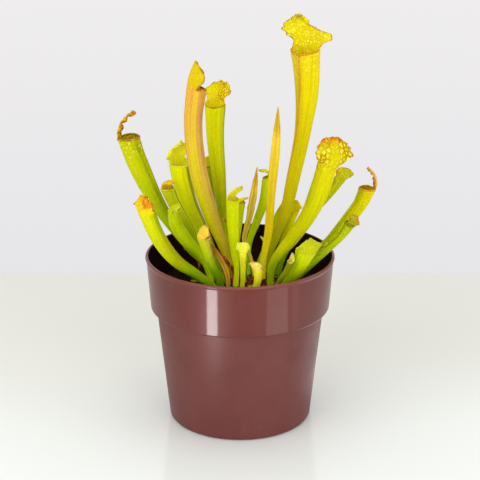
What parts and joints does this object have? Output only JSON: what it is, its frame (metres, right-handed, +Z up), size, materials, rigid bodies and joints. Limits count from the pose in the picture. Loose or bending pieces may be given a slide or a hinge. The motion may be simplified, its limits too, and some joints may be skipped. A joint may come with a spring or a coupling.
{
  "type": "potted pitcher plant",
  "caption": "Clump of hooded trumpet-shaped pitcher leaves with ruffled hoods, growing from a low crown in a peat-filled tapered plastic pot with a deep rim band.",
  "frame": {"origin": "middle of the pot's flat underside, where it rests", "axes": "+Z up along the pot's axis, -Y towards the side that the plant is looked at from, +X to the right of that view"},
  "size_m": [0.1772, 0.1308, 0.2756],
  "materials": {
    "pot_plastic": "plum-brown plastic, glossy on the band and satin below it",
    "peat": "dark damp peat, matte",
    "rootstock": "brown woody crown with dead leaf bases",
    "leaf_green": "green leaf tissue with red-brown veins, satin",
    "leaf_lime": "lime-green leaf tissue with a yellow, veined hood, satin",
    "leaf_yellow": "yellow leaf tissue with orange edges, satin",
    "leaf_amber": "ageing amber leaf tissue with darker veins, satin",
    "leaf_pale": "pale cream-yellow leaf tissue, satin",
    "leaf_brown": "dry red-brown leaf tissue, matte"
  },
  "bodies": {
    "root": {"pot": "pot_plastic", "soil": "peat", "crown": "rootstock", "pitcher_far_left": "leaf_green", "pitcher_low_left": "leaf_green", "pitcher_left_hooded": "leaf_lime", "pitcher_amber": "leaf_amber", "pitcher_green_frilled": "leaf_green", "pitcher_tall": "leaf_yellow", "pitcher_netted": "leaf_lime", "pitcher_far_right": "leaf_lime", "pitcher_low_right": "leaf_green", "pitcher_front_right": "leaf_lime", "pitcher_left_rear": "leaf_green", "pitcher_left_mid": "leaf_green", "pitcher_centre": "leaf_lime", "pitcher_slim_rear": "leaf_green", "pitcher_small_left": "leaf_yellow", "pitcher_small_rear": "leaf_green", "pitcher_centre_rear": "leaf_green", "pitcher_netted_rear": "leaf_green", "pitcher_tiny_rim": "leaf_brown", "pitcher_beaked": "leaf_lime", "pitcher_yellow_rear": "leaf_yellow", "pitcher_pale_front": "leaf_pale", "pitcher_stub_front": "leaf_pale", "pitcher_pale_tip": "leaf_pale", "pitcher_tiny_rear": "leaf_lime", "leaf_spear": "leaf_yellow", "leaf_slender_brown": "leaf_brown", "leaf_slender_green": "leaf_green", "leaf_strip_green": "leaf_lime", "leaf_strip_brown": "leaf_brown", "dead_leaf_left": "leaf_brown", "dead_leaf_centre": "leaf_brown", "cut_stub_green": "leaf_lime", "dry_stalk": "leaf_brown"}
  },
  "joints": []
}
